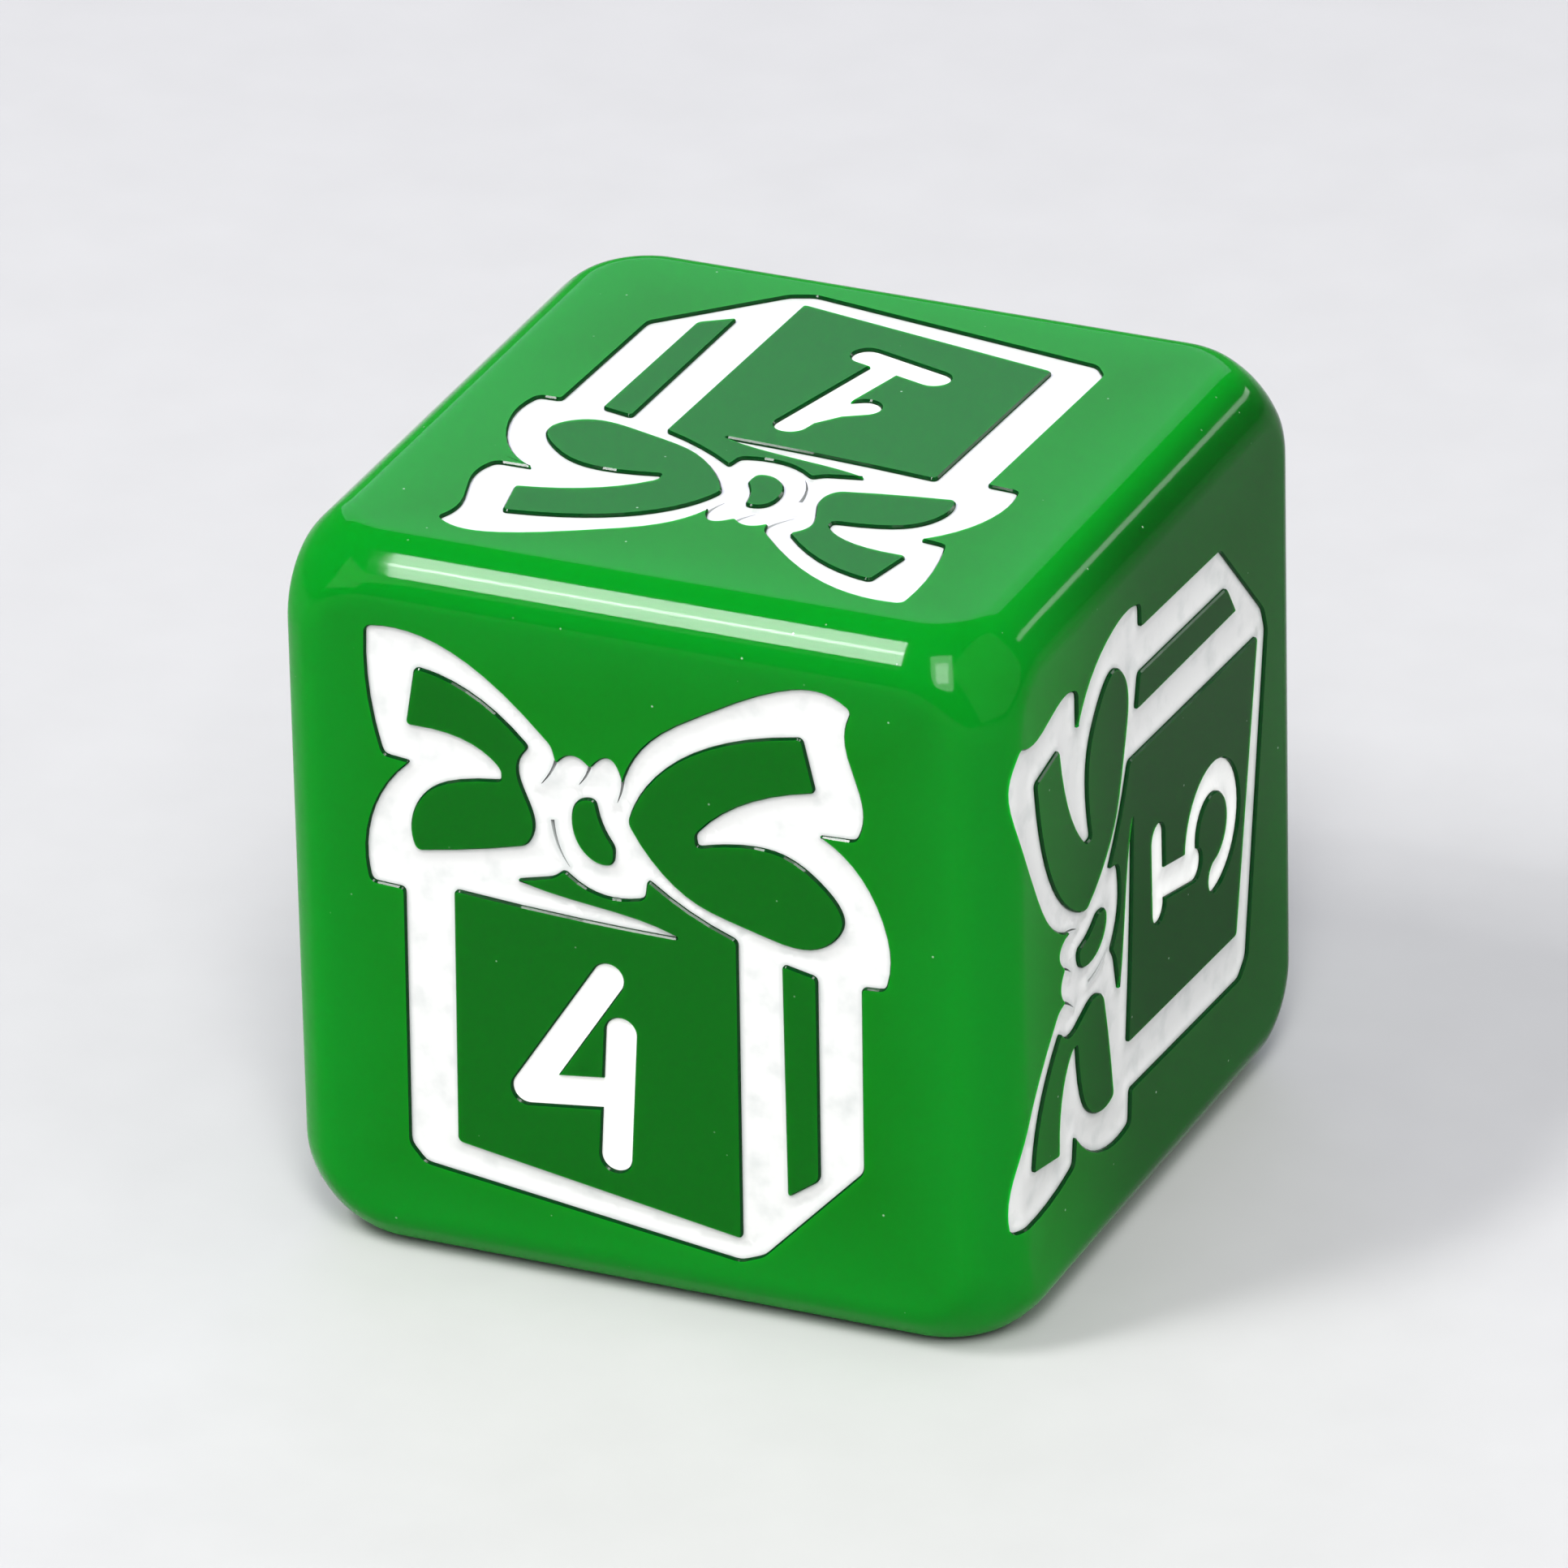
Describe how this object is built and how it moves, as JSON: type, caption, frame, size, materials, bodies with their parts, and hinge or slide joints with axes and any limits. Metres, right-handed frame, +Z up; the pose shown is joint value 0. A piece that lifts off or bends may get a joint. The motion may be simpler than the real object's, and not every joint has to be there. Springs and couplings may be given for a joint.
{
  "type": "six-sided die",
  "caption": "Rounded green six-sided die with a gift-box drawing and a numeral engraved in each face and filled with white paint.",
  "frame": {"origin": "centre of the face with the six, on which the die stands", "axes": "+Z up, out of the face with the one; -Y out of the face with the four; +X out of the face with the five"},
  "size_m": [0.016, 0.016, 0.016],
  "materials": {
    "green_resin": "glossy moulded resin, slightly translucent",
    "white_paint": "smooth enamel paint set just below the face"
  },
  "bodies": {
    "root": {"die_body": "green_resin", "gift_box_paint_four": "white_paint", "numeral_paint_four": "white_paint", "gift_box_paint_one": "white_paint", "numeral_paint_one": "white_paint", "gift_box_paint_five": "white_paint", "numeral_paint_five": "white_paint", "gift_box_paint_two": "white_paint", "numeral_paint_two": "white_paint", "gift_box_paint_three": "white_paint", "numeral_paint_three": "white_paint", "gift_box_paint_six": "white_paint", "numeral_paint_six": "white_paint"}
  },
  "joints": []
}
